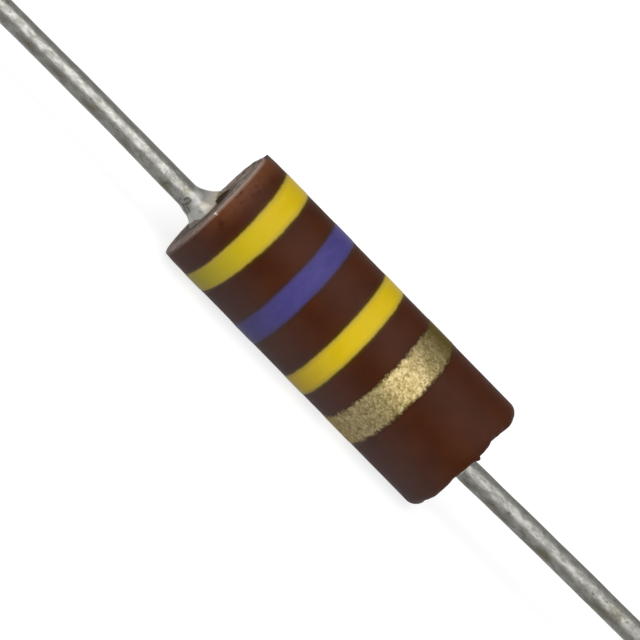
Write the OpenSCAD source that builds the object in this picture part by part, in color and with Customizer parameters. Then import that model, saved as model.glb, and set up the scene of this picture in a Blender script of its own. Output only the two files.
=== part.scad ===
// Moulded carbon composition resistor with axial leads, one watt size.
// It lies on its painted bands, body along X, with the bench at Z = 0.
// The origin is under the middle of the body, and the first band is towards -X.

/* [Jacket] */
// Diameter of the moulded jacket
jacket_d = 5.72; // [5:0.02:6.4]
// Length of the jacket from face to face
jacket_l = 14.5; // [13:0.05:16]
// Thickness of the jacket's end walls
end_wall = 1.5; // [1:0.05:2]
// Bevel of the worn rim round the left face
rim_bevel = 0.07; // [0.02:0.01:0.2]
// Radius of the rounded shoulder round the right face
shoulder_r = 0.5; // [0.3:0.02:0.7]

/* [Moulding flash on the right face] */
// Height of the lip of flash above the face
lip_h = 0.08; // [0.04:0.01:0.15]
// Width of the lip
lip_w = 0.3; // [0.16:0.02:0.5]
// Angle at which the lip starts, from the front towards the top
lip_from = 56; // [40:1:60]
// Angle at which the lip ends
lip_to = 74; // [66:1:100]
// Height of the nib that the flash left on the shoulder
nib_h = 0.24; // [0.16:0.02:0.4]
// Diameter of the nib at its foot
nib_d = 0.3; // [0.2:0.02:0.4]
// Angle of the nib, from the front towards the top
nib_at = 28; // [0:1:50]

/* [Resistance element] */
// Diameter of the carbon composition rod inside the jacket
element_d = 3.6; // [3.3:0.05:4.2]

/* [Leads] */
// Diameter of the tinned copper wire
lead_d = 0.98; // [0.8:0.02:1.1]
// Length of each lead outside the jacket
lead_l = 38.1; // [30:0.1:45]
// Length of each lead inside the jacket, with its head
lead_grip = 2.9; // [2.4:0.05:4]
// Diameter of the head that anchors a lead in the element
head_d = 1.7; // [1.3:0.05:1.9]
// Thickness of the head
head_t = 0.45; // [0.3:0.05:0.8]
// Distance of the left lead below the axis at its face
left_drop = 0.63; // [0.3:0.01:0.8]
// Length of the left lead that stays parallel to the body
left_straight = 5.3; // [3:0.1:12]
// Radius of the left lead's slight bend
left_bend_r = 90; // [40:5:150]
// Angle by which the rest of the left lead dips
left_dip = 0.8; // [0.4:0.1:2]
// Distance of the right lead below the axis at its face
right_drop = 0.3; // [0.1:0.02:0.6]
// Angle at which the right lead rises before it bows back level
right_rise = 2.2; // [1.2:0.1:3]

/* [Solder] */
// Height of the solder cone on the left lead
cone_h = 1.25; // [0.7:0.05:1.6]
// Spread of the cone's foot beyond the lead
cone_spread = 0.52; // [0.3:0.02:0.6]
// Offset of the cone's foot from the lead, towards the axis
cone_shift = 0.12; // [0:0.02:0.2]
// Offset of the cone's foot from the lead, towards the front
cone_front = 0.12; // [0:0.02:0.2]
// Height of the small fillet on the right lead
fillet_h = 0.24; // [0.2:0.02:0.6]
// Spread of the fillet's foot beyond the lead
fillet_spread = 0.18; // [0.14:0.02:0.4]
// Thickness of the solder where it ends on a lead
solder_skin = 0.02; // [0.01:0.005:0.04]

/* [Colour bands] */
// Thickness of the paint
paint_t = 0.03; // [0.02:0.01:0.06]
// Distance of the first yellow band from the left face, on the body's axis
yellow1_at = 1.1; // [0.8:0.01:1.3]
// Width of the first yellow band
yellow1_w = 1.06; // [0.8:0.01:1.3]
// Lean of the first yellow band's outer edge, towards +X at the top
yellow1_lean_out = 0.6; // [-2:0.1:5]
// Lean of the first yellow band's inner edge
yellow1_lean_in = 4.1; // [-2:0.1:5]
// Skew of the first yellow band, towards +X at the front
yellow1_skew = 4.1; // [-3:0.1:5]
// Distance of the violet band from the left face
violet_at = 3.9; // [3:0.01:4.4]
// Width of the violet band
violet_w = 1.08; // [0.8:0.01:1.3]
// Lean of the violet band
violet_lean = 0.3; // [-3:0.1:5]
// Skew of the violet band
violet_skew = 2.8; // [-3:0.1:5]
// Distance of the second yellow band from the left face
yellow2_at = 6.8; // [6:0.01:7.2]
// Width of the second yellow band
yellow2_w = 1.06; // [0.8:0.01:1.3]
// Lean of the second yellow band
yellow2_lean = -0.2; // [-3:0.1:5]
// Skew of the second yellow band
yellow2_skew = 2.5; // [-3:0.1:5]
// Distance of the gold band from the left face
gold_at = 9.23; // [8.8:0.01:9.6]
// Width of the gold band
gold_w = 1.4; // [1:0.01:1.7]
// Lean of the gold band
gold_lean = 2.6; // [-3:0.1:5]
// Skew of the gold band
gold_skew = 4.3; // [-3:0.1:5]

/* [Hidden] */
jacket_r = jacket_d / 2;
lead_r = lead_d / 2;
face_x = jacket_l / 2;
element_l = jacket_l - 2 * end_wall;
axis_z = jacket_r + paint_t;
lip_r = jacket_r - shoulder_r - lip_w / 2;
nib_r = jacket_r - shoulder_r / 2 - nib_d / 4;
// Share of the shoulder that the nib's root goes through, and its diameters there and at its tip
nib_root = 0.6;
nib_flare = 1.4;
nib_point = 0.4;
// Diameter of the lip's round top, as a share of its width
lip_round = 1.2;
// The right lead's bow brings it from its drop back onto the body's axis
bow_r = right_drop / (1 - cos(right_rise));
bow_l = bow_r * right_rise * PI / 180;
left_bend_l = left_bend_r * left_dip * PI / 180;
round_fn = 96;
small_fn = 24;
curve_fn = 360;
bend_fn = 7200;
// Each stretch of wire after a bend starts this far inside it, so the two are one solid
join = 0.001;
jacket_brown = [0.29, 0.17, 0.12];
element_black = [0.08, 0.08, 0.08];
tinned_grey = [0.66, 0.66, 0.64];
solder_grey = [0.72, 0.72, 0.7];
yellow_paint = [0.86, 0.74, 0.13];
violet_paint = [0.3, 0.27, 0.5];
gold_paint = [0.78, 0.68, 0.42];

// Children drawn round Z are laid along X on the body's axis
module on_axis(x = 0) {
    translate([x, 0, axis_z]) rotate([0, 90, 0]) children();
}

// Round wire along +X that bends downwards in the XZ plane: each step is a straight length,
// a bend radius and a bend angle
module wire(steps, i = 0) {
    run = steps[i][0];
    bend = steps[i][1];
    turn = steps[i][2];
    start = i > 0 ? -join : 0;
    rotate([0, 90, 0]) translate([0, 0, start]) cylinder(h = run - start, r = lead_r, $fn = round_fn);
    if (i + 1 < len(steps)) {
        translate([run, 0, 0]) arc_of_wire(bend, turn);
        translate([run + bend * sin(turn), 0, bend * (cos(turn) - 1)]) rotate([0, turn, 0])
            wire(steps, i + 1);
    }
}

// Bent stretch of wire that starts at the origin along +X and curves towards -Z
module arc_of_wire(bend, turn) {
    rotate([-90, -90, 0]) translate([-bend, 0, 0])
        rotate_extrude(angle = turn, $fn = bend_fn) translate([bend, 0]) circle(r = lead_r, $fn = round_fn);
}

// Flat head on a lead's inner end, with a short cone into the wire
module lead_head() {
    neck_h = (head_d - lead_d) / 2;
    rotate([0, 90, 0]) {
        cylinder(h = head_t, d = head_d, $fn = round_fn);
        translate([0, 0, head_t]) cylinder(h = neck_h, d1 = head_d, d2 = lead_d, $fn = round_fn);
    }
}

// The left lead leaves level, then dips a little
module lead_left_form() {
    tail = lead_l - left_straight - left_bend_l;
    mirror([1, 0, 0]) translate([face_x - lead_grip, 0, axis_z - left_drop]) {
        lead_head();
        wire([[lead_grip + left_straight, left_bend_r, left_dip], [tail, 0, 0]]);
    }
}

// The right lead leaves on the rise, then bows back level on the body's axis
module lead_right_form() {
    tail = lead_l - bow_l;
    translate([face_x, 0, axis_z - right_drop]) rotate([0, -right_rise, 0]) translate([-lead_grip, 0, 0]) {
        lead_head();
        wire([[lead_grip, bow_r, right_rise], [tail, 0, 0]]);
    }
}

module element_form() {
    on_axis(-element_l / 2) cylinder(h = element_l, d = element_d, $fn = round_fn);
}

// Half outline of the jacket, revolved: bevelled rim at the left, rounded shoulder at the right
module jacket_outline() {
    polygon([[0, 0], [jacket_r - rim_bevel, 0], [jacket_r, rim_bevel],
             [jacket_r, jacket_l - shoulder_r], [0, jacket_l - shoulder_r]]);
    square([jacket_r - shoulder_r, jacket_l]);
    translate([jacket_r - shoulder_r, jacket_l - shoulder_r]) intersection() {
        circle(r = shoulder_r, $fn = round_fn);
        square(shoulder_r);
    }
}

// Lip of flash along part of the right face's edge, with a round top
module flash_lip() {
    sink = lip_w / 2;
    on_axis(face_x) rotate([0, 0, -90 - lip_to]) rotate_extrude(angle = lip_to - lip_from, $fn = curve_fn)
        translate([lip_r, -sink]) intersection() {
            translate([-lip_w / 2, 0]) square([lip_w, sink + lip_h]);
            translate([0, lip_h - lip_w / 2 + sink]) circle(d = lip_w * lip_round, $fn = round_fn);
        }
}

// Small pointed nib on the right shoulder
module flash_nib() {
    root = shoulder_r * nib_root;
    translate([face_x - root, 0, axis_z]) rotate([-nib_at, 0, 0]) translate([0, -nib_r, 0])
        rotate([0, 90, 0])
            cylinder(h = root + nib_h, d1 = nib_d * nib_flare, d2 = nib_d * nib_point, $fn = small_fn);
}

module jacket() {
    color(jacket_brown) difference() {
        union() {
            on_axis(-face_x) rotate_extrude($fn = round_fn) jacket_outline();
            flash_lip();
            flash_nib();
        }
        element_form();
        lead_left_form();
        lead_right_form();
    }
}

module resistance_element() {
    color(element_black) difference() {
        element_form();
        lead_left_form();
        lead_right_form();
    }
}

module lead_left() {
    color(tinned_grey) lead_left_form();
}

module lead_right() {
    color(tinned_grey) lead_right_form();
}

// Solder that climbs a lead along Z in a hollow curve: it is a thin skin on the wire at its top
// and spreads out at its foot, which is drawn long enough for a leaning face to cut
module solder_flare(height, spread) {
    top_r = lead_r + solder_skin;
    curve_r = (spread * spread + height * height) / (2 * spread);
    rotate_extrude($fn = round_fn) difference() {
        translate([0, -spread]) square([top_r + spread, height + spread]);
        translate([top_r + curve_r, height]) circle(r = curve_r, $fn = curve_fn);
    }
}

// The cone leans so that its top is round the wire and its foot is nearer to the body's axis and front
module solder_left() {
    lean = atan(cone_shift / cone_h);
    turn = atan(cone_front / cone_h);
    color(solder_grey) difference() {
        translate([-face_x - cone_h, 0, axis_z - left_drop]) rotate([0, -90 - lean, -turn])
            translate([0, 0, -cone_h]) solder_flare(cone_h, cone_spread);
        lead_left_form();
        beyond(0, 1);
    }
}

module solder_right() {
    color(solder_grey) difference() {
        translate([face_x, 0, axis_z - right_drop]) rotate([0, 90 - right_rise, 0])
            solder_flare(fillet_h, fillet_spread);
        lead_right_form();
        beyond(jacket_l, -1);
    }
}

// Half space beyond a plane across the body, at x from the left face, that leans about Y and skews
// about Z: way is 1 for the side towards +X and -1 for the side towards -X
module beyond(x, way, lean = 0, skew = 0) {
    reach = 2 * jacket_d;
    translate([x - face_x, 0, axis_z]) rotate([0, lean, skew])
        translate([way > 0 ? 0 : -reach, -reach / 2, -reach / 2]) cube(reach);
}

// Ring of paint round the jacket, with its two edges cut at their own leans
module band(from, width, lean_from, lean_to, skew) {
    spare = jacket_r / 4;
    tube_l = width + 2 * spare;
    difference() {
        on_axis(from - spare - face_x) difference() {
            cylinder(h = tube_l, r = jacket_r + paint_t, $fn = round_fn);
            translate([0, 0, -spare]) cylinder(h = tube_l + 2 * spare, r = jacket_r, $fn = round_fn);
        }
        beyond(from, -1, lean_from, skew);
        beyond(from + width, 1, lean_to, skew);
    }
}

module band_1_yellow() {
    color(yellow_paint) band(yellow1_at, yellow1_w, yellow1_lean_out, yellow1_lean_in, yellow1_skew);
}

module band_2_violet() {
    color(violet_paint) band(violet_at, violet_w, violet_lean, violet_lean, violet_skew);
}

module band_3_yellow() {
    color(yellow_paint) band(yellow2_at, yellow2_w, yellow2_lean, yellow2_lean, yellow2_skew);
}

module band_4_gold() {
    color(gold_paint) band(gold_at, gold_w, gold_lean, gold_lean, gold_skew);
}

jacket();
resistance_element();
lead_left();
lead_right();
solder_left();
solder_right();
band_1_yellow();
band_2_violet();
band_3_yellow();
band_4_gold();
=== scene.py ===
import math

import bmesh
import bpy
from mathutils import Matrix, Vector, noise


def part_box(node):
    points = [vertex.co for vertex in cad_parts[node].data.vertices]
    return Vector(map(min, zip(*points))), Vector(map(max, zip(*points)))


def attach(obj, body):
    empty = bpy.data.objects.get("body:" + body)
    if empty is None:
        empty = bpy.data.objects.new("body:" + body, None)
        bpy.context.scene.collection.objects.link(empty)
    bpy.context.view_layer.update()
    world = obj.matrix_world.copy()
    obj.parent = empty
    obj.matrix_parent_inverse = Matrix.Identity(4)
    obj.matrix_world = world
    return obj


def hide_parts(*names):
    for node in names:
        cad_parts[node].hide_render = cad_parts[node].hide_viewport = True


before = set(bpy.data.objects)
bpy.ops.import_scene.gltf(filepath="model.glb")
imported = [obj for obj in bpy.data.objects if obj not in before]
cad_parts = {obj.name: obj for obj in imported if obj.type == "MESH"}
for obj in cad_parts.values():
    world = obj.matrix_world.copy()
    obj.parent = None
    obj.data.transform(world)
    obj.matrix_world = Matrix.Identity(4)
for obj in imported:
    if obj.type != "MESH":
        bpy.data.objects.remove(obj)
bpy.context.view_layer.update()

print("frame loaded")

# Every piece is modelled in millimetres along the body's axis and scaled to metres when it is finished
millimetre = 0.001
jacketLow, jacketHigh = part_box("jacket")
goldLow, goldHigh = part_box("band_4_gold")
axisZ = (jacketLow.z + jacketHigh.z) / 2 / millimetre
bodyR = (jacketHigh.z - jacketLow.z) / 2 / millimetre
paintR = (goldHigh.z - goldLow.z) / 2 / millimetre
faceX = -jacketLow.x / millimetre


def smooth(value, low, high):
    share = min(1.0, max(0.0, (value - low) / (high - low)))
    return share * share * (3 - 2 * share)


def hump(value, middle, width):    # 1 at the middle, 0 from a width away
    return 1 - smooth(abs(value - middle), 0, width)


def between(knots, place):    # eased value between (place, value) knots
    for (low, first), (high, second) in zip(knots, knots[1:]):
        if place <= high:
            return first + (second - first) * smooth(place, low, high)
    return knots[-1][1]


def around(y, z):    # angle round the body in degrees, from the front towards the top
    return math.degrees(math.atan2(z, -y))


def ripple(x, y, z, size, seed=0.0):    # smooth noise between about -1 and 1, with lumps of that size
    return noise.noise(Vector((x / size + seed, y / size, z / size)))


def turned(corners, steps, spacing, rounds=(), closed=False):
    # corners are (x, radius) pairs; rounds are (corner, offset, segments)
    bm = bmesh.new()
    verts = [bm.verts.new((x, 0, radius)) for x, radius in corners]
    for start, end in zip(verts, verts[1:]):
        bm.edges.new((start, end))
    if closed:
        bm.edges.new((verts[-1], verts[0]))
    for corner, offset, segments in rounds:
        bmesh.ops.bevel(bm, geom=[verts[corner]], offset=offset, offset_type="OFFSET", segments=segments,
                        profile=0.5, affect="VERTICES", material=-1)
    for edge in bm.edges[:]:
        middle = (edge.verts[0].co.x + edge.verts[1].co.x) / 2
        cuts = int(edge.calc_length() / spacing(middle))
        if cuts:
            bmesh.ops.subdivide_edges(bm, edges=[edge], cuts=cuts)
    bmesh.ops.spin(bm, geom=bm.verts[:] + bm.edges[:], cent=(0, 0, 0), axis=(1, 0, 0),
                   angle=2 * math.pi, steps=steps, use_merge=True)
    bmesh.ops.remove_doubles(bm, verts=bm.verts[:], dist=0.0002)
    bmesh.ops.recalc_face_normals(bm, faces=bm.faces[:])
    return bm


def finished(bm, name, material, node):
    bmesh.ops.scale(bm, vec=(millimetre, millimetre, millimetre), verts=bm.verts[:])
    mesh = bpy.data.meshes.new(name)
    bm.to_mesh(mesh)
    bm.free()
    mesh.materials.append(material)
    mesh.shade_smooth()
    piece = bpy.data.objects.new(name, mesh)
    bpy.context.scene.collection.objects.link(piece)
    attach(piece, "root")
    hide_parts(node)
    print(name, len(mesh.polygons), "faces")


# Material helpers
def newMaterial(name):
    material = bpy.data.materials.new(name)
    material.use_nodes = True
    tree = material.node_tree
    place = tree.nodes.new("ShaderNodeTexCoord")
    toMillimetres = tree.nodes.new("ShaderNodeMapping")
    toMillimetres.inputs["Scale"].default_value = (1000, 1000, 1000)
    tree.links.new(place.outputs["Object"], toMillimetres.inputs["Vector"])
    return material, tree, tree.nodes["Principled BSDF"], toMillimetres.outputs["Vector"]


def feed(tree, socket, value):
    if isinstance(value, bpy.types.NodeSocket):
        tree.links.new(value, socket)
    elif isinstance(value, tuple) and len(value) == 3 and socket.type == "RGBA":
        socket.default_value = (*value, 1)
    else:
        socket.default_value = value


def grain(tree, vector, scale, detail=2.0, rough=0.5, stretch=None, shift=None):
    if stretch or shift:
        mapping = tree.nodes.new("ShaderNodeMapping")
        mapping.inputs["Scale"].default_value = stretch or (1, 1, 1)
        mapping.inputs["Location"].default_value = shift or (0, 0, 0)
        tree.links.new(vector, mapping.inputs["Vector"])
        vector = mapping.outputs["Vector"]
    node = tree.nodes.new("ShaderNodeTexNoise")
    node.inputs["Scale"].default_value = scale
    node.inputs["Detail"].default_value = detail
    node.inputs["Roughness"].default_value = rough
    tree.links.new(vector, node.inputs["Vector"])
    return node.outputs["Fac"]


def cells(tree, vector, scale):    # a random colour for each cell
    node = tree.nodes.new("ShaderNodeTexVoronoi")
    node.inputs["Scale"].default_value = scale
    tree.links.new(vector, node.inputs["Vector"])
    return node.outputs["Color"]


def attribute(tree, name):
    node = tree.nodes.new("ShaderNodeAttribute")
    node.attribute_name = name
    return node.outputs["Fac"]


def sums(tree, operation, first, second=0.0, clamp=False):
    node = tree.nodes.new("ShaderNodeMath")
    node.operation = operation
    node.use_clamp = clamp
    feed(tree, node.inputs[0], first)
    feed(tree, node.inputs[1], second)
    return node.outputs[0]


def spread(tree, value, fromLow, fromHigh, toLow=0.0, toHigh=1.0):
    node = tree.nodes.new("ShaderNodeMapRange")
    node.interpolation_type = "SMOOTHSTEP"
    feed(tree, node.inputs["Value"], value)
    node.inputs["From Min"].default_value = fromLow
    node.inputs["From Max"].default_value = fromHigh
    node.inputs["To Min"].default_value = toLow
    node.inputs["To Max"].default_value = toHigh
    return node.outputs["Result"]


def mixed(tree, share, first, second):
    node = tree.nodes.new("ShaderNodeMix")
    node.data_type = "RGBA"
    feed(tree, node.inputs["Factor"], share)
    colourA, colourB = [socket for socket in node.inputs if socket.type == "RGBA"]
    feed(tree, colourA, first)
    feed(tree, colourB, second)
    return [socket for socket in node.outputs if socket.type == "RGBA"][0]


def bumped(tree, height, strength, distance, normal=None):
    node = tree.nodes.new("ShaderNodeBump")
    node.inputs["Strength"].default_value = strength
    node.inputs["Distance"].default_value = distance * millimetre
    tree.links.new(height, node.inputs["Height"])
    if normal:
        tree.links.new(normal, node.inputs["Normal"])
    return node.outputs["Normal"]


# Moulding compound
brownLook = {
    "deep": (0.048, 0.0127, 0.0042),
    "warm": (0.063, 0.0173, 0.0060),
    "red": (0.150, 0.052, 0.022),
    "dust": (0.38, 0.30, 0.25),
    "soot": (0.12, 0.088, 0.066),
    # Residue colours the left face round the cone: flux residue and painted shade
    "residueAndShade": (0.050, 0.036, 0.022),
    # Bloom is a painted sheen: a pale reflection painted into the colour, mostly below the front
    "paintedSheen": (0.30, 0.28, 0.30),
    # Scuff colours the rubbed dots and the rim's light line, which is partly a painted highlight
    "scuffAndRimHighlight": (0.36, 0.27, 0.22),
    # Chip is a pale spot on the left rim: a chip with a painted glint
    "chipAndGlint": (0.80, 0.70, 0.64),
    "smudge": (0.046, 0.027, 0.033),
    "paintedSheenShare": 0.16,
    "dotShare": 0.22,          # pale dots where the brown is rubbed
    "roughness": (0.44, 0.56),
    "specular": 0.018,
    "faceSpecular": 0.002,
    # Scales are lumps to a millimetre, and relief is a scale, a strength and a depth
    "cloudScale": 0.55,
    "fleckScale": 7,
    "patchScale": 2.2,
    "dotScale": 15,
    "dirtScale": 4.5,
    "scuffScale": 5,
    "fineRelief": (16, 0.35, 0.004),
    "broadRelief": (1.6, 0.5, 0.02),
}


def mouldingColour(tree, vector):
    cloud = spread(tree, grain(tree, vector, brownLook["cloudScale"], 2), 0.35, 0.65)
    fleck = spread(tree, grain(tree, vector, brownLook["fleckScale"], 3, 0.6), 0.3, 0.75, 0, 0.35)
    base = mixed(tree, cloud, brownLook["deep"], brownLook["warm"])
    return mixed(tree, fleck, base, brownLook["warm"])


# Mixes in the painted sheen, a pale reflection painted into the colour
def withPaintedSheen(tree, colour):
    share = sums(tree, "MULTIPLY", attribute(tree, "paintedSheen"), brownLook["paintedSheenShare"])
    return mixed(tree, share, colour, brownLook["paintedSheen"])


def paintedSheenAt(y, z):    # painted sheen: a pale reflection below the front, and a faint one above it
    return max(hump(around(y, z), -62, 80), 0.2 * hump(around(y, z), 48, 36))


def mouldingRelief(tree, vector):
    scale, strength, depth = brownLook["fineRelief"]
    fine = bumped(tree, grain(tree, vector, scale, 3, 0.6), strength, depth)
    scale, strength, depth = brownLook["broadRelief"]
    return bumped(tree, grain(tree, vector, scale, 2), strength, depth, fine)


def jacketMaterial():
    material, tree, surface, vector = newMaterial("mouldedBrown")
    colour = mouldingColour(tree, vector)
    patchy = grain(tree, vector, brownLook["patchScale"], 3, 0.6)
    rub = sums(tree, "MULTIPLY", attribute(tree, "rub"), spread(tree, patchy, 0.25, 0.55))
    colour = mixed(tree, rub, colour, brownLook["red"])
    dots = spread(tree, grain(tree, vector, brownLook["dotScale"], 1), 0.70, 0.76, 0, brownLook["dotShare"])
    colour = mixed(tree, sums(tree, "MULTIPLY", attribute(tree, "rub"), dots), colour, brownLook["scuffAndRimHighlight"])
    speck = grain(tree, vector, brownLook["dirtScale"], 5, 0.75, (1, 0.4, 1))
    endColour = mixed(tree, spread(tree, speck, 0.38, 0.60), brownLook["soot"], brownLook["dust"])
    # the left face darkens round the cone: flux residue and painted shade
    endColour = mixed(tree, attribute(tree, "residueAndShade"), endColour, brownLook["residueAndShade"])
    colour = mixed(tree, attribute(tree, "face"), colour, endColour)
    uneven = spread(tree, grain(tree, vector, brownLook["scuffScale"], 3, 0.6), 0.20, 0.46)
    # light line on the left rim: rubbed wear and a painted highlight
    scuffAndRimHighlight = sums(tree, "MULTIPLY", attribute(tree, "wearAndRimHighlight"), uneven)
    colour = mixed(tree, scuffAndRimHighlight, colour, brownLook["scuffAndRimHighlight"])
    colour = mixed(tree, attribute(tree, "smudge"), withPaintedSheen(tree, colour), brownLook["smudge"])
    colour = mixed(tree, attribute(tree, "chipAndGlint"), colour, brownLook["chipAndGlint"])
    feed(tree, surface.inputs["Base Color"], colour)
    low, high = brownLook["roughness"]
    feed(tree, surface.inputs["Roughness"], spread(tree, patchy, 0.3, 0.7, low, high))
    gloss = spread(tree, attribute(tree, "face"), 0, 1, brownLook["specular"], brownLook["faceSpecular"])
    feed(tree, surface.inputs["Specular IOR Level"], gloss)
    feed(tree, surface.inputs["Normal"], mouldingRelief(tree, vector))
    return material


# Jacket
jacketShape = {
    "rimRound": 0.035,         # edge of the left face
    "rimEase": 0.03,           # how far the side eases in towards the left rim
    "rimEaseLength": 0.7,
    "shoulderRound": 0.45,
    "steps": 288,
    "spacings": (0.022, 0.06, 0.13, 0.05),    # at the left rim, near it, along the side and at the right end
    # Angle, size and half turn of the pale spot, a chip with a painted glint, and of the dark smudge on the
    # left rim
    "chipAndGlint": (14, 0.06, 1.2),
    "smudge": (102, 0.24, 15),
    "rimLine": (0.02, 0.075),  # distances from the rim between which its light line fades
    "rubShare": 0.88,
    "rubReach": (0.1, 1.0),
    "nibAngle": 29.2,
    "nibHeight": 0.16,
    "nibWidths": (2.2, 8),     # in degrees, steep above and gentle below
    "residueAndShade": (1.15, 2.15),   # radii round the wire between which the flux residue and its painted shade fade
    "waveDepth": 0.006,
    "nickDepth": 0.02,         # nicks in the left rim
    "raggedDepth": 0.012,      # uneven edge of the right end
    # How far the right end and the left rim stand out or back, by angle from the front towards the top
    "endProfile": [(-180, 0), (-110, -0.04), (-70, -0.15), (-58, -0.115), (-50, -0.165), (-45, -0.164),
                   (-36, -0.121), (-29, -0.089), (-12, -0.111), (0, -0.162), (14, -0.12), (29, -0.092),
                   (37, -0.070), (43, -0.088), (50, -0.160), (54, -0.190), (60, -0.090), (63, -0.080),
                   (68, -0.125), (72, -0.060), (77, 0.015), (83, 0.050), (95, 0.033), (125, 0)],
    "rimProfile": [(-180, 0), (-103, 0), (-80, 0), (95, -0.03), (125, 0.08), (158, -0.01), (180, 0)],
}


def jacketSpacing(x):
    atRim, nearRim, alongSide, atEnd = jacketShape["spacings"]
    if x < -faceX + 0.25:
        return atRim
    if x < -faceX + 0.8:
        return nearRim
    return alongSide if x < faceX - 0.6 else atEnd


def rimWearAndHighlight(x, angle, radius):    # light line along the left rim: rubbed wear with a painted highlight on the edge
    fromRim = math.hypot(x + faceX, radius - bodyR)
    bright = (0.55 + 0.35 * smooth(angle, -30, 40)) * (1 - 0.85 * smooth(angle, 76, 94))
    return (1 - smooth(fromRim, *jacketShape["rimLine"])) * bright


def rimMark(x, angle, radius, mark):    # share of a small mark on the left rim
    markAngle, size, halfTurn = mark
    away = math.hypot((x + faceX - 0.02) / size, (radius - bodyR) / size, (angle - markAngle) / halfTurn)
    return 1 - smooth(away, 0.5, 1)


def makeJacket():
    shape = jacketShape
    corners = [(-faceX, 0), (-faceX, bodyR), (faceX, bodyR), (faceX, 0)]
    rounds = [(1, shape["rimRound"], 4), (2, shape["shoulderRound"], 14)]
    bm = turned(corners, shape["steps"], jacketSpacing, rounds)
    wearAndRimHighlight = bm.verts.layers.float.new("wearAndRimHighlight")
    rub = bm.verts.layers.float.new("rub")
    face = bm.verts.layers.float.new("face")
    residueAndShade = bm.verts.layers.float.new("residueAndShade")
    paintedSheen = bm.verts.layers.float.new("paintedSheen")
    chipAndGlint = bm.verts.layers.float.new("chipAndGlint")
    smudge = bm.verts.layers.float.new("smudge")
    drop = leads["lead_left"]["drop"]
    residueShadeR, residueShadeEnd = shape["residueAndShade"]
    for vert in bm.verts:
        x, y, z = vert.co
        radius = math.hypot(y, z)
        angle = around(y, z)
        vert[wearAndRimHighlight] = rimWearAndHighlight(x, angle, radius)
        vert[chipAndGlint] = rimMark(x, angle, radius, shape["chipAndGlint"])
        vert[smudge] = rimMark(x, angle, radius, shape["smudge"])
        vert[paintedSheen] = paintedSheenAt(y, z)
        vert[face] = 1 - smooth(x + faceX, 0.0, 0.03)
        dark = 0.70 + 0.30 * hump(around(y, z + drop), 66, 46)    # painted shade with the residue round the cone, darkest above it
        vert[residueAndShade] = dark * (1 - smooth(math.hypot(y, z + drop), residueShadeR, residueShadeEnd)) * vert[face]
        rubbed = shape["rubShare"] * (1 - smooth(x + faceX, *shape["rubReach"]))
        vert[rub] = rubbed * smooth(angle, -30, 40) * (1 - smooth(angle, 95, 125))
        ease = 1 - smooth(x + faceX, 0, shape["rimEaseLength"])
        swell = shape["waveDepth"] * ripple(x, y, z, 1.8) - shape["rimEase"] * ease * ease
        edge = smooth(radius, bodyR - 0.5, bodyR)
        vert.co.yz = Vector((y, z)) * (1 + swell * edge / max(radius, 0.01))
        nick = shape["nickDepth"] * ripple(x, y, z, 0.35, 7) * hump(radius, bodyR, 0.2)
        nick *= 1 - smooth(x + faceX, 0, 0.15)
        atEnd = smooth(x, faceX - 1.2, faceX - 0.2)
        ragged = shape["raggedDepth"] * ripple(x, y, z, 0.35, 3) * smooth(x, faceX - 0.5, faceX - 0.1)
        stand = between(shape["endProfile"], angle) * atEnd * smooth(radius, 0.6, 2.2)
        atRim = 1 - smooth(x, -faceX, 1 - faceX)
        stand += between(shape["rimProfile"], angle) * atRim * smooth(radius, 1.2, 2.4)
        vert.co.x = x + nick + ragged + stand
        side = angle - shape["nibAngle"]
        nibWidth = shape["nibWidths"][0] if side > 0 else shape["nibWidths"][1]
        nib = hump(side, 0, nibWidth) * hump(radius, bodyR - 0.2, 0.28) * smooth(x, faceX - 0.45, faceX - 0.2)
        vert.co.x += shape["nibHeight"] * nib
    bmesh.ops.translate(bm, verts=bm.verts[:], vec=(0, 0, axisZ))
    finished(bm, "mouldedJacket", jacketMaterial(), "jacket")


# Paint bands
# A band is measured from the left face. Its two edges lean, and it is skewed, by degrees. Thin is the angle
# and the reach of a darker zone: painted shade towards the bottom of the first yellow band, and thin paint at
# the top of the gold band
bandShapes = {
    "band_1_yellow": {"at": 1.10, "width": 1.06, "leans": (0.6, 4.1), "skew": 4.1, "thin": (-40, 110),
                      "slot": "yellow_paint", "seed": 1},
    "band_2_violet": {"at": 3.90, "width": 1.08, "leans": (0.3, 0.3), "skew": 2.8,
                      "slot": "violet_paint", "seed": 5},
    "band_3_yellow": {"at": 6.80, "width": 1.06, "leans": (-0.2, -0.2), "skew": 2.5,
                      "slot": "yellow_paint", "seed": 9},
    "band_4_gold": {"at": 9.20, "width": 1.48, "leans": (2.6, 2.6), "skew": 4.3, "thin": (96, 44),
                    "slot": "gold_paint", "seed": 13},
}
bandEdge = {"margin": 0.14, "steps": 288, "spacing": 0.03, "sink": 0.02, "wave": 0.02, "thick": 0.015,
            "slope": 0.09, "film": 0.004, "filmEnd": 0.002}


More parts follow.
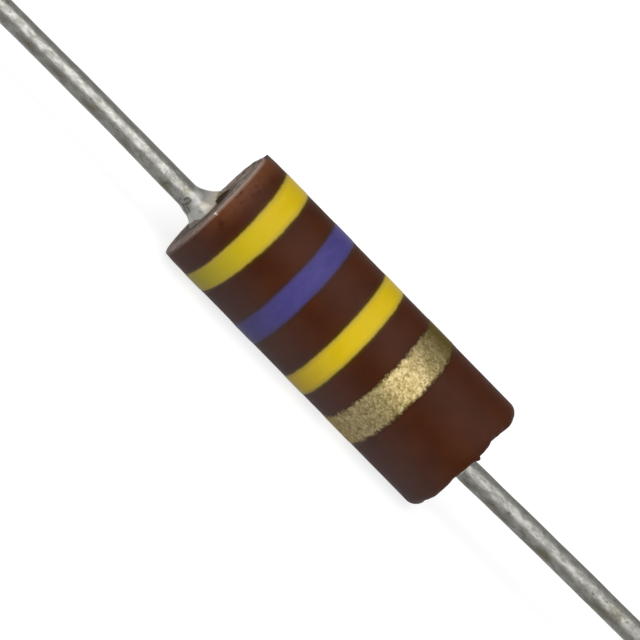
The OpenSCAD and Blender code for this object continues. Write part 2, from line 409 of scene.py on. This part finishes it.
def makeBand(name, material):
    shape = bandShapes[name]
    left = shape["at"] - faceX
    right = left + shape["width"]
    margin = bandEdge["margin"]
    inner = bodyR - bandEdge["sink"]
    top = min(paintR, bodyR + bandEdge["thick"])
    slope = bandEdge["slope"]
    film, filmEnd = bodyR + bandEdge["film"], bodyR + bandEdge["filmEnd"]
    corners = [(left - margin, inner), (left - margin, filmEnd), (left, film), (left + slope, top),
               (right - slope, top), (right, film), (right + margin, filmEnd), (right + margin, inner)]
    bm = turned(corners, bandEdge["steps"], lambda x: bandEdge["spacing"], closed=True)
    edge = bm.verts.layers.float.new("paintEdge")
    thin = bm.verts.layers.float.new("thinPaint")
    paintedSheen = bm.verts.layers.float.new("paintedSheen")
    leans = [math.tan(math.radians(lean)) for lean in shape["leans"]]
    skew = math.tan(math.radians(shape["skew"]))
    for vert in bm.verts:
        x, y, z = vert.co
        vert[edge] = min(x - left, right - x)
        vert[thin] = hump(around(y, z), *shape["thin"]) if "thin" in shape else 0
        vert[paintedSheen] = paintedSheenAt(y, z)
        share = min(1, max(0, (x - left) / (right - left)))
        waves = [bandEdge["wave"] * ripple(20 * side, y, z, 0.8, shape["seed"]) for side in (0, 1)]
        shifts = [z * lean - y * skew + wave for lean, wave in zip(leans, waves)]
        vert.co.x = x + shifts[0] * (1 - share) + shifts[1] * share
    bmesh.ops.translate(bm, verts=bm.verts[:], vec=(0, 0, axisZ))
    finished(bm, name.replace("_", "") + "Paint", material, name)


# Rim is the paint's colour just inside its edge, and outline the brown's colour just outside
paintLooks = {
    "yellow": {"body": (0.640, 0.445, 0.004), "pale": (0.665, 0.475, 0.013), "thin": (0.455, 0.372, 0.012),
               "rim": (0.455, 0.335, 0.042), "outline": (0.058, 0.027, 0.0005), "roughness": 0.36},
    "violet": {"body": (0.056, 0.046, 0.190), "pale": (0.072, 0.060, 0.218), "thin": (0.05, 0.04, 0.13),
               "rim": (0.062, 0.047, 0.145), "outline": (0.045, 0.018, 0.012), "roughness": 0.40},
}
paintCoat = {"specular": 0.025, "streakScale": 1.3, "fineScale": 11, "edgeDrift": 0.012, "outlineShare": 0.85}


def fromEdge(tree, vector, uneven):    # distance inside the paint's edge, which is slightly uneven
    drift = spread(tree, grain(tree, vector, 3.5, 4, 0.65), 0.3, 0.7, -uneven, uneven)
    return sums(tree, "ADD", attribute(tree, "paintEdge"), drift)


def paintMaterial(name):
    look = paintLooks[name]
    material, tree, surface, vector = newMaterial(name + "Paint")
    streak = spread(tree, grain(tree, vector, paintCoat["streakScale"], 3, 0.6, (2.2, 1, 1)), 0.3, 0.7)
    fine = spread(tree, grain(tree, vector, paintCoat["fineScale"], 3, 0.6), 0.35, 0.65, 0, 0.4)
    paint = mixed(tree, streak, look["body"], look["pale"])
    paint = mixed(tree, fine, paint, look["body"])
    # painted shade, darker towards the bottom of the first yellow band
    paint = mixed(tree, attribute(tree, "thinPaint"), paint, look["thin"])
    where = fromEdge(tree, vector, paintCoat["edgeDrift"])
    paint = mixed(tree, spread(tree, where, 0.02, 0.26, 0.85, 0), paint, look["rim"])
    bare = mouldingColour(tree, vector)
    outline = sums(tree, "MULTIPLY", spread(tree, where, -0.18, -0.10), paintCoat["outlineShare"])
    colour = mixed(tree, outline, bare, look["outline"])
    inside = spread(tree, where, -0.055, 0.075)
    # the painted sheen goes over the paint as well
    feed(tree, surface.inputs["Base Color"], withPaintedSheen(tree, mixed(tree, inside, colour, paint)))
    feed(tree, surface.inputs["Roughness"], spread(tree, inside, 0, 1, 0.5, look["roughness"]))
    surface.inputs["Specular IOR Level"].default_value = paintCoat["specular"]
    feed(tree, surface.inputs["Normal"], mouldingRelief(tree, vector))
    return material


goldLook = {
    "bright": (0.325, 0.265, 0.137),
    "mid": (0.205, 0.158, 0.062),
    "dark": (0.110, 0.082, 0.027),
    "thin": (0.075, 0.056, 0.024),
    "outline": (0.024, 0.012, 0.0015),
    "edge": (0.62, 0.56, 0.42),    # tint where the flakes are seen at a glance
    "flake": 9.5,              # flakes to a millimetre
    "clumpScale": 5,
    "fineScale": 11,
    "shares": (0.22, 0.55, 0.6),    # of single flakes, clumps and fine grain in the shine
    "edgeDrift": 0.05,
    "ragged": 0.05,            # how far single flakes move the paint's edge
    "thinEdge": 0.07,          # how far the edge draws in where the paint is thin
    "roughness": 0.44,
    "metallic": 0.95,
}


def goldMaterial():
    material, tree, surface, vector = newMaterial("goldPaint")
    flakeTint = cells(tree, vector, goldLook["flake"])
    single = tree.nodes.new("ShaderNodeSeparateColor")
    tree.links.new(flakeTint, single.inputs["Color"])
    flake = single.outputs["Red"]
    clump = grain(tree, vector, goldLook["clumpScale"], 4, 0.7)
    fine = grain(tree, vector, goldLook["fineScale"], 3, 0.6)
    flakeShare, clumpShare, fineShare = goldLook["shares"]
    clumped = sums(tree, "MULTIPLY", clump, clumpShare)
    shine = sums(tree, "ADD", sums(tree, "MULTIPLY", flake, flakeShare), clumped)
    shine = sums(tree, "ADD", shine, sums(tree, "MULTIPLY", fine, fineShare))
    paint = mixed(tree, spread(tree, shine, 0.44, 0.70), goldLook["dark"], goldLook["mid"])
    paint = mixed(tree, spread(tree, shine, 0.62, 0.88), paint, goldLook["bright"])
    paint = mixed(tree, attribute(tree, "thinPaint"), paint, goldLook["thin"])
    ragged = sums(tree, "MULTIPLY", sums(tree, "SUBTRACT", flake, 0.5), goldLook["ragged"])
    where = sums(tree, "ADD", fromEdge(tree, vector, goldLook["edgeDrift"]), ragged)
    drawnIn = sums(tree, "MULTIPLY", attribute(tree, "thinPaint"), goldLook["thinEdge"])
    where = sums(tree, "SUBTRACT", where, drawnIn)
    bare = mouldingColour(tree, vector)
    outline = sums(tree, "MULTIPLY", spread(tree, where, -0.12, -0.05), 0.5)
    colour = mixed(tree, outline, bare, goldLook["outline"])
    inside = spread(tree, where, -0.08, 0.12)
    # the painted sheen goes over the gold paint as well
    feed(tree, surface.inputs["Base Color"], withPaintedSheen(tree, mixed(tree, inside, colour, paint)))
    surface.inputs["Specular Tint"].default_value = (*goldLook["edge"], 1)
    feed(tree, surface.inputs["Metallic"], sums(tree, "MULTIPLY", inside, goldLook["metallic"]))
    surface.inputs["Roughness"].default_value = goldLook["roughness"]
    surface.inputs["Specular IOR Level"].default_value = brownLook["specular"]
    normal = bumped(tree, flake, 0.16, 0.01)
    feed(tree, surface.inputs["Normal"], bumped(tree, fine, 0.45, 0.012, normal))
    return material


# Tinned wire
wireLook = {
    "light": (0.205, 0.203, 0.189),
    "mid": (0.138, 0.136, 0.122),
    "stain": (0.090, 0.080, 0.052),
    "speck": (0.035, 0.035, 0.027),
    "roughness": (0.27, 0.39),
    "dulled": 0.13,            # extra roughness where the tin is dulled
    "blotchScale": 4.6,
    "stainScale": 1.3,
    "speckScale": 9,
    "blotchRelief": (0.35, 0.018),    # strength and depth
    "speckRelief": (0.8, 0.012),
}


def dullTin(tree, vector, surface):    # colour of the tin; its roughness and relief go into the shader
    along = (0.5, 1, 1)
    blotch = grain(tree, vector, wireLook["blotchScale"], 4, 0.66, along)
    stain = grain(tree, vector, wireLook["stainScale"], 3, 0.6, along, (3, 0, 0))
    speck = grain(tree, vector, wireLook["speckScale"], 3, 0.6, (0.6, 1, 1))
    colour = mixed(tree, spread(tree, blotch, 0.36, 0.64), wireLook["mid"], wireLook["light"])
    colour = mixed(tree, spread(tree, stain, 0.58, 0.72, 0, 0.6), colour, wireLook["stain"])
    # tarnish holds the stain patches and the painted dark reflection along the top of the wire
    patch = sums(tree, "MULTIPLY", attribute(tree, "tarnish"), spread(tree, blotch, 0.30, 0.52))
    colour = mixed(tree, patch, colour, wireLook["stain"])
    colour = mixed(tree, spread(tree, speck, 0.62, 0.72, 0, 0.7), colour, wireLook["speck"])
    surface.inputs["Metallic"].default_value = 1
    low, high = wireLook["roughness"]
    dulled = sums(tree, "MULTIPLY", attribute(tree, "dulled"), wireLook["dulled"])
    rough = spread(tree, blotch, 0.3, 0.7, high, low)
    feed(tree, surface.inputs["Roughness"], sums(tree, "ADD", rough, dulled))
    normal = bumped(tree, blotch, *wireLook["blotchRelief"])
    feed(tree, surface.inputs["Normal"], bumped(tree, speck, *wireLook["speckRelief"], normal))
    return mixed(tree, attribute(tree, "pit"), colour, wireLook["speck"])


def wireMaterial():
    material, tree, surface, vector = newMaterial("dullTin")
    feed(tree, surface.inputs["Base Color"], dullTin(tree, vector, surface))
    return material


# Leads: a straight length, a bend and a tail, measured from the jacket's face. The drop is from the body's
# axis to the wire's, and rises are in degrees. Tarnish is (distance, angle, length), and pits are (distance,
# angle, size)
wireR = 0.49
leads = {
    "lead_left": {
        "way": -1, "drop": 0.63, "rise": 0, "straight": 5.3, "bendRadius": 90, "endRise": -0.8,
        "farSwell": 0, "dulled": 0.1, "pits": [(4.91, 3, 0.07)],
        "tarnish": [(9.8, -18, 0.9), (8.2, -14, 0.8), (6.4, -22, 0.7), (4.3, -30, 0.5), (2.0, -35, 0.5)],
    },
    "lead_right": {
        "way": 1, "drop": 0.3, "rise": 2.2, "straight": 0, "bendRadius": 407.0, "endRise": 0,
        "farSwell": 0.022, "dulled": 1, "pits": [(6.95, 24, 0.08)],
        "tarnish": [(0.7, -28, 0.4), (1.9, -20, 0.6), (2.6, -32, 0.7), (4.6, -25, 0.5), (8.2, -12, 0.8)],
    },
}
leadShape = {
    "grip": 2.9,               # length inside the jacket
    "length": 38.1,
    "headRadius": 0.85,
    "headThick": 0.45,
    "tipRound": 0.05,
    "sides": 56,
    "swell": 0.042,            # share by which the wire is thicker near the jacket
    "swellLength": 5.2,
    "detailed": 12,            # length with fine steps along the wire, before the coarse ones
    "spacings": (0.06, 0.3),
    "dentDepths": (0.012, 0.006),    # of broad and of small dents
    "paintedDarkTop": (114, 56, 0.95),    # angle, half width and strength of the painted dark reflection along the top of the wire
}


def alongWire(lead, distance):    # place and slope of the wire's middle, at a distance outside the face
    rise = math.radians(lead["rise"])
    last = math.radians(lead["endRise"])
    straight = min(distance, lead["straight"])
    x, z = straight * math.cos(rise), straight * math.sin(rise)
    slope = rise
    if distance > lead["straight"]:
        sign = 1 if last > rise else -1
        radius = lead["bendRadius"]
        slope = rise + sign * min(abs(last - rise), (distance - straight) / radius)
        x += sign * radius * (math.sin(slope) - math.sin(rise))
        z += sign * radius * (math.cos(rise) - math.cos(slope))
        rest = distance - straight - abs(slope - rise) * radius
        x += rest * math.cos(slope)
        z += rest * math.sin(slope)
    return x, z, slope


def makeLead(name, material, title, seed):
    lead = leads[name]
    shape = leadShape
    grip, length, headRadius = shape["grip"], shape["length"], shape["headRadius"]
    neck = headRadius - wireR
    corners = [(-grip, 0), (-grip, headRadius), (shape["headThick"] - grip, headRadius),
               (shape["headThick"] + neck - grip, wireR), (length, wireR), (length, 0)]
    fine, coarse = shape["spacings"]
    bm = turned(corners, shape["sides"], lambda x: fine if -0.3 < x < shape["detailed"] else coarse,
                [(4, shape["tipRound"], 3)])
    tarnish = bm.verts.layers.float.new("tarnish")
    dulled = bm.verts.layers.float.new("dulled")
    pit = bm.verts.layers.float.new("pit")
    deep, shallow = shape["dentDepths"]
    stripeAt, stripeReach, stripeShare = shape["paintedDarkTop"]
    for vert in bm.verts:
        distance, y, z = vert.co
        outside = smooth(distance, -0.2, 0.3)
        thick = 1 + shape["swell"] * (1 - smooth(distance, 0.5, shape["swellLength"])) * outside
        thick += lead["farSwell"] * smooth(distance, 1.5, shape["swellLength"])
        vert[dulled] = lead["dulled"]
        # painted dark reflection along the top of the wire; the tarnish patches follow
        vert[tarnish] = stripeShare * hump(around(y, z), stripeAt, stripeReach)
        vert[pit] = 0
        for place, angle, size in lead["pits"]:
            away = math.hypot(distance - place, math.radians(around(y, z) - angle) * wireR)
            vert[pit] = max(vert[pit], hump(away, 0, size))
        for place, angle, patch in lead["tarnish"]:
            side = math.radians(around(y, z) - angle) * wireR
            away = math.hypot((distance - place) / patch, side / 0.24)
            vert[tarnish] = max(vert[tarnish], 0.9 * hump(away, 0, 1))
        dent = deep * ripple(distance * 0.45, y, z, 0.5, seed)
        dent += shallow * ripple(distance, y, z, 0.22, seed + 3)
        thick += dent * outside / wireR
        x, rise, slope = alongWire(lead, distance)
        vert.co.x = lead["way"] * (faceX + x - z * thick * math.sin(slope))
        vert.co.y = y * thick
        vert.co.z = axisZ - lead["drop"] + rise + z * thick * math.cos(slope)
    bmesh.ops.recalc_face_normals(bm, faces=bm.faces[:])
    finished(bm, title, material, name)


# Solder
solderLook = {
    # Bright is the smooth solder's colour, which also paints the highlight on the cone
    "bright": (0.46, 0.455, 0.43),
    "flux": (0.36, 0.325, 0.265),
    "mark": (0.05, 0.05, 0.04),
    # Char darkens the cone's foot under the flap: burnt flux and painted shade
    "charAndShade": (0.055, 0.034, 0.018),
    "grime": (0.17, 0.140, 0.094),
    "specular": 0.02,
    "gapScale": 10,            # breaks in the scratches
    "grimeScale": 8,
}
# Reach is how far the cone's foot goes out from the wire, by angle
solders = {
    "solder_left": {
        "height": 1.25, "spread": 0.72,
        "reach": [(-180, 0.48), (-110, 0.34), (-70, 0.35), (-25, 0.38), (20, 0.60), (45, 0.58), (68, 0.44),
                  (82, 0.52), (108, 0.95), (138, 0.95), (162, 0.64), (180, 0.48)],
    },
    "solder_right": {"height": 0.22, "spread": 0.16, "reach": [(-180, 0.16), (180, 0.16)]},
}
# Gap and sink are how far the solder's edge lies outside the wire's surface, and its inside below it
solderMesh = {"arcSteps": 20, "steps": 160, "spacing": 0.028, "gap": 0.012, "sink": 0.05, "lumpDepth": 0.03}
# How far the brown residue, and the dark band of burnt flux and painted shade under the overhanging flap,
# climb up the cone's foot, by angle
residueHeight = [(-180, 0.05), (-125, 0.08), (-80, 0.16), (-20, 0.15), (6, 0.05), (30, 0.03), (60, 0.06),
                 (100, 0.24), (145, 0.24), (180, 0.05)]
charAndShadeHeight = [(-180, -0.05), (48, -0.05), (72, 0.12), (90, 0.13), (110, 0.07), (140, 0.04), (175, -0.05)]
# Dark scratches in the solder: a line of (distance from the face, angle), half its width and its strength
solderScratches = [
    ([(1.02, -4), (0.98, 11), (0.90, 18), (0.83, 14), (0.81, 0), (0.85, -13)], 0.045, 0.9),
    ([(0.94, -29), (0.83, -19), (0.63, -18), (0.53, -22)], 0.040, 0.9),
    ([(0.89, -31), (0.67, -37), (0.53, -37)], 0.045, 0.9),
    ([(0.33, 11), (0.21, 15)], 0.030, 0.3),
]


def fromLine(points, x, side):    # distance to a line of (x, side) points
    nearest = math.inf
    for (x1, side1), (x2, side2) in zip(points, points[1:]):
        runX, runSide = x2 - x1, side2 - side1
        share = ((x - x1) * runX + (side - side1) * runSide) / (runX ** 2 + runSide ** 2)
        share = min(1, max(0, share))
        nearest = min(nearest, math.hypot(x - x1 - share * runX, side - side1 - share * runSide))
    return nearest


def solderMaterial():
    material, tree, surface, vector = newMaterial("satinSolder")
    colour = dullTin(tree, vector, surface)
    # smoother solder and a painted highlight on the cone
    colour = mixed(tree, attribute(tree, "smoothAndHighlight"), colour, solderLook["bright"])
    colour = mixed(tree, attribute(tree, "flux"), colour, solderLook["flux"])
    gaps = spread(tree, grain(tree, vector, solderLook["gapScale"], 3, 0.6), 0.25, 0.45)
    broken = sums(tree, "MULTIPLY", attribute(tree, "notch"), gaps)
    colour = mixed(tree, broken, colour, solderLook["mark"])
    uneven = spread(tree, grain(tree, vector, solderLook["grimeScale"], 3, 0.6), 0.3, 0.7, 0.55, 1)
    grime = sums(tree, "MULTIPLY", attribute(tree, "grime"), uneven)
    colour = mixed(tree, grime, colour, solderLook["grime"])
    # dark band low on the cone's foot: burnt flux and painted shade
    charAndShade = attribute(tree, "charAndShade")
    feed(tree, surface.inputs["Base Color"], mixed(tree, charAndShade, colour, solderLook["charAndShade"]))
    grimeAndShade = sums(tree, "MAXIMUM", grime, charAndShade)
    feed(tree, surface.inputs["Metallic"], sums(tree, "SUBTRACT", 1.0, grimeAndShade))
    surface.inputs["Specular IOR Level"].default_value = solderLook["specular"]
    return material


def makeSolder(name, leadName, material, title):
    shape = solders[name]
    lead = leads[leadName]
    height, reach = shape["height"], shape["spread"]
    curve = (reach * reach + height * height) / (2 * reach)
    turn = math.asin(height / curve)
    count = solderMesh["arcSteps"]
    turns = [turn * (1 - i / count) for i in range(count + 1)]
    outer, inner = wireR + solderMesh["gap"], wireR - solderMesh["sink"]
    arc = [(height - curve * math.sin(part), outer + curve * (1 - math.cos(part))) for part in turns]
    corners = [(0, inner)] + arc + [(height, inner)]
    bm = turned(corners, solderMesh["steps"], lambda x: solderMesh["spacing"], closed=True)
    flux = bm.verts.layers.float.new("flux")
    smoothAndHighlight = bm.verts.layers.float.new("smoothAndHighlight")
    notch = bm.verts.layers.float.new("notch")
    charAndShade = bm.verts.layers.float.new("charAndShade")
    grime = bm.verts.layers.float.new("grime")
    for vert in bm.verts:
        x, y, z = vert.co
        radius = math.hypot(y, z)
        angle = around(y, z)
        out = max(0, radius - outer)
        grow = between(shape["reach"], angle) / shape["spread"]
        lumps = solderMesh["lumpDepth"] * ripple(x, y, z, 0.4, 11) * smooth(out, 0, 0.12)
        wanted = outer + out * grow + lumps if radius > wireR else radius
        # painted highlight on the cone's flank, above and below, and smoother, brighter solder near the foot
        upper = hump(x, 0.78, 0.40) * hump(angle, 43, 50)
        lower = 0.8 * hump(x, 0.62, 0.34) * hump(angle, 24, 40)
        vert[smoothAndHighlight] = max(upper, lower, 0.45 * (1 - smooth(x, 0.3, 0.8)))
        charAndShadeTop = between(charAndShadeHeight, angle)
        vert[charAndShade] = 1 - smooth(x, charAndShadeTop - 0.02, charAndShadeTop + 0.03)
        climb = between(residueHeight, angle)
        vert[grime] = 0.95 * (1 - smooth(x, climb - 0.025, climb + 0.035))
        vert[flux] = (1 - smooth(x, 0.28, 0.50)) * smooth(angle, 18, 40) * 0.9
        vert[notch] = 0
        for line, width, strength in solderScratches:
            places = [(place, math.radians(side) * wireR) for place, side in line]
            away = fromLine(places, x, math.radians(angle) * wireR)
            vert[notch] = max(vert[notch], strength * hump(away, 0, 1.7 * width))
        vert.co.y = y * wanted / radius
        vert.co.z = z * wanted / radius
    bmesh.ops.transform(bm, matrix=Matrix.Rotation(-math.radians(lead["rise"]), 4, "Y"), verts=bm.verts[:])
    for vert in bm.verts:
        vert.co.x = lead["way"] * (faceX + vert.co.x)
        vert.co.z += axisZ - lead["drop"]
    bmesh.ops.recalc_face_normals(bm, faces=bm.faces[:])
    finished(bm, title, material, name)


# Carbon rod inside the jacket, which keeps the CAD's mesh
carbonLook = {"dark": (0.006, 0.006, 0.006), "light": (0.02, 0.02, 0.02), "roughness": (0.55, 0.8)}


def carbonMaterial():
    material, tree, surface, vector = newMaterial("carbonRod")
    dust = grain(tree, vector, 12, 4, 0.7)
    colour = mixed(tree, spread(tree, dust, 0.35, 0.65), carbonLook["dark"], carbonLook["light"])
    feed(tree, surface.inputs["Base Color"], colour)
    feed(tree, surface.inputs["Roughness"], spread(tree, dust, 0.3, 0.7, *carbonLook["roughness"]))
    feed(tree, surface.inputs["Normal"], bumped(tree, dust, 0.5, 0.01))
    return material


makeJacket()
yellow = paintMaterial("yellow")
for bandName, bandMaterial in [("band_1_yellow", yellow), ("band_2_violet", paintMaterial("violet")),
                               ("band_3_yellow", yellow), ("band_4_gold", goldMaterial())]:
    makeBand(bandName, bandMaterial)
print("body made")
tin = wireMaterial()
makeLead("lead_left", tin, "leftLead", 2)
makeLead("lead_right", tin, "rightLead", 31)
solder = solderMaterial()
makeSolder("solder_left", "lead_left", solder, "leftSolderCone")
makeSolder("solder_right", "lead_right", solder, "rightSolderFillet")
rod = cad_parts["resistance_element"]
rod.data.materials.clear()
rod.data.materials.append(carbonMaterial())
print("leads and solder made")


# Floor, light and background
studio = {
    "floorSize": 6.0,
    "floorBounce": 0.45,
    "floorShade": 0.40,        # share of the seen floor that takes shadow
    "floorLift": 0.78,
    "horizon": 1.0,            # brightness of the surroundings, from the horizon to overhead
    "overhead": 0.22,
    "lamps": {                 # power, width, height, distance and direction
        "key": (1.77, 0.235, 0.62, 0.44, (0.10, -0.739, 0.666)),
        "sideFill": (0.55, 0.36, 0.36, 0.42, (-0.93, -0.27, 0.30)),
    },
}


def directRays(tree):    # rays that show the background: from the camera, and by way of metal or glass
    path = tree.nodes.new("ShaderNodeLightPath")
    rays = sums(tree, "ADD", path.outputs["Is Camera Ray"], path.outputs["Is Glossy Ray"], True)
    return sums(tree, "ADD", rays, path.outputs["Is Transmission Ray"], True)


def makeFloor():
    bm = bmesh.new()
    bmesh.ops.create_grid(bm, x_segments=2, y_segments=2, size=studio["floorSize"] / 2)
    mesh = bpy.data.meshes.new("floor")
    bm.to_mesh(mesh)
    bm.free()
    floor = bpy.data.objects.new("floor", mesh)
    bpy.context.scene.collection.objects.link(floor)
    material = bpy.data.materials.new("floorWhite")
    material.use_nodes = True
    tree = material.node_tree
    tree.nodes.clear()
    output = tree.nodes.new("ShaderNodeOutputMaterial")
    bounce = tree.nodes.new("ShaderNodeBsdfDiffuse")
    bounce.inputs["Color"].default_value = (*[studio["floorBounce"]] * 3, 1)
    shade = tree.nodes.new("ShaderNodeBsdfDiffuse")
    shade.inputs["Color"].default_value = (*[studio["floorShade"]] * 3, 1)
    lift = tree.nodes.new("ShaderNodeEmission")
    lift.inputs["Strength"].default_value = studio["floorLift"]
    seen = tree.nodes.new("ShaderNodeAddShader")
    tree.links.new(shade.outputs[0], seen.inputs[0])
    tree.links.new(lift.outputs[0], seen.inputs[1])
    choice = tree.nodes.new("ShaderNodeMixShader")
    tree.links.new(directRays(tree), choice.inputs[0])
    tree.links.new(bounce.outputs[0], choice.inputs[1])
    tree.links.new(seen.outputs[0], choice.inputs[2])
    tree.links.new(choice.outputs[0], output.inputs["Surface"])
    mesh.materials.append(material)


def makeWorld():
    world = bpy.data.worlds.new("studio")
    bpy.context.scene.world = world
    world.use_nodes = True
    tree = world.node_tree
    background = tree.nodes["Background"]
    place = tree.nodes.new("ShaderNodeTexCoord")
    split = tree.nodes.new("ShaderNodeSeparateXYZ")
    tree.links.new(place.outputs["Generated"], split.inputs["Vector"])
    sky = spread(tree, split.outputs["Z"], 0.03, 0.25, studio["horizon"], studio["overhead"])
    feed(tree, background.inputs["Color"], mixed(tree, directRays(tree), sky, (1.0, 1.0, 1.0)))


def makeLamps():
    for name, (power, width, height, distance, aim) in studio["lamps"].items():
        lamp = bpy.data.lights.new(name, "AREA")
        lamp.shape = "RECTANGLE"
        lamp.size, lamp.size_y = width, height
        lamp.energy = power
        box = bpy.data.objects.new(name, lamp)
        direction = Vector(aim).normalized()
        box.location = direction * distance
        box.rotation_mode = "QUATERNION"
        box.rotation_quaternion = direction.to_track_quat("Z", "Y")
        bpy.context.scene.collection.objects.link(box)


# Camera: the photograph looks down at the front, with the body's axis running to the lower right
cameraView = {
    "azimuth": -6.39,
    "elevation": 20.0,
    "distance": 0.3208,
    "axisFall": 45.7,          # degrees by which the body's axis falls to the right
    "pixelsPerMillimetre": 24.94,
    "bodyMiddle": (342.0, 332.4),    # pixel where the middle of the body is
    "picture": 640,
    "sensor": 36,
    "nearest": 0.005,
}


def makeCamera():
    view = cameraView
    turn, lift = math.radians(view["azimuth"]), math.radians(view["elevation"])
    back = Vector((math.sin(turn) * math.cos(lift), -math.cos(turn) * math.cos(lift), math.sin(lift)))
    along = Vector((1, 0, 0))
    along = (along - back * along.dot(back)).normalized()
    across = back.cross(along)
    fall = math.radians(-view["axisFall"])
    right = along * math.cos(fall) - across * math.sin(fall)
    up = along * math.sin(fall) + across * math.cos(fall)
    pixel = millimetre / view["pixelsPerMillimetre"]
    middleX, middleY = view["bodyMiddle"]
    camera = bpy.data.objects.new("camera", bpy.data.cameras.new("camera"))
    camera.data.sensor_width = view["sensor"]
    camera.data.lens = view["sensor"] * view["distance"] / (view["picture"] * pixel)
    camera.data.clip_start = view["nearest"]
    aim = Matrix((right, up, back)).transposed()
    camera.rotation_mode = "QUATERNION"
    camera.rotation_quaternion = aim.to_quaternion()
    target = Vector((0, 0, axisZ * millimetre))
    half = view["picture"] / 2
    place = target + back * view["distance"] - right * (middleX - half) * pixel
    camera.location = place - up * (half - middleY) * pixel
    bpy.context.scene.collection.objects.link(camera)
    bpy.context.scene.camera = camera


makeFloor()
makeWorld()
makeLamps()
makeCamera()
bpy.context.scene.view_settings.view_transform = "Standard"
print("studio made")
